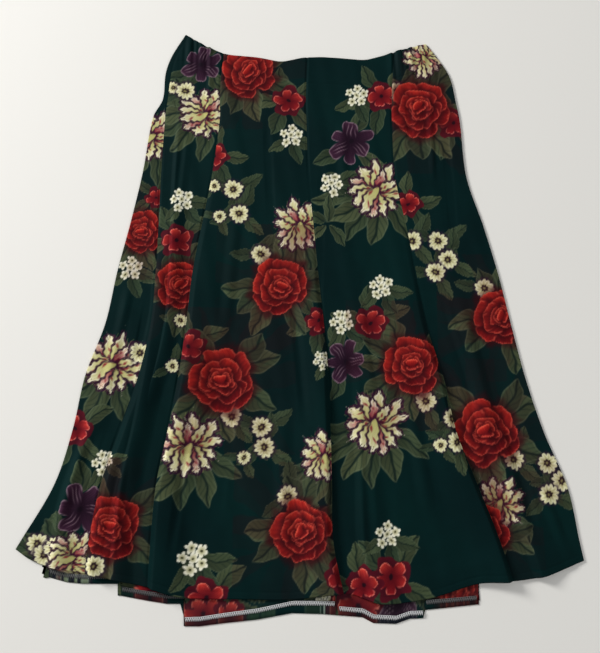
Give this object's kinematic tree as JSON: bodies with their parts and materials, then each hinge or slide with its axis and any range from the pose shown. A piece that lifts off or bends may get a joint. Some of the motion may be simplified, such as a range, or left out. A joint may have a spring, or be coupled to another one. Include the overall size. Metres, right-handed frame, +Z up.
{
  "type": "midi skirt",
  "caption": "Gored A-line midi skirt in printed crepe, laid flat face up, with gathered elastic at both waist corners and a narrow hem.",
  "frame": {"origin": "centre of the garment's box, on the surface that it lies on", "axes": "+Z up off the surface, +Y from hem to waist, +X across the garment to the viewer's right"},
  "size_m": [0.8234, 0.915, 0.016],
  "materials": {
    "printed_crepe": "dark bottle-green crepe with a floral print, matt, soft drape",
    "hem_turn_up": "the same crepe turned up once at the hem, its raw edge overlocked in white thread"
  },
  "bodies": {
    "root": {"side_front_left": "printed_crepe", "front_left": "printed_crepe", "front_right": "printed_crepe", "side_front_right": "printed_crepe", "side_back_right": "printed_crepe", "back_right": "printed_crepe", "back_left": "printed_crepe", "side_back_left": "printed_crepe", "hem_turn_outer_left": "hem_turn_up", "hem_turn_side_left": "hem_turn_up", "hem_turn_back_left": "hem_turn_up", "hem_turn_back_right": "hem_turn_up", "hem_turn_side_right": "hem_turn_up"}
  },
  "joints": []
}
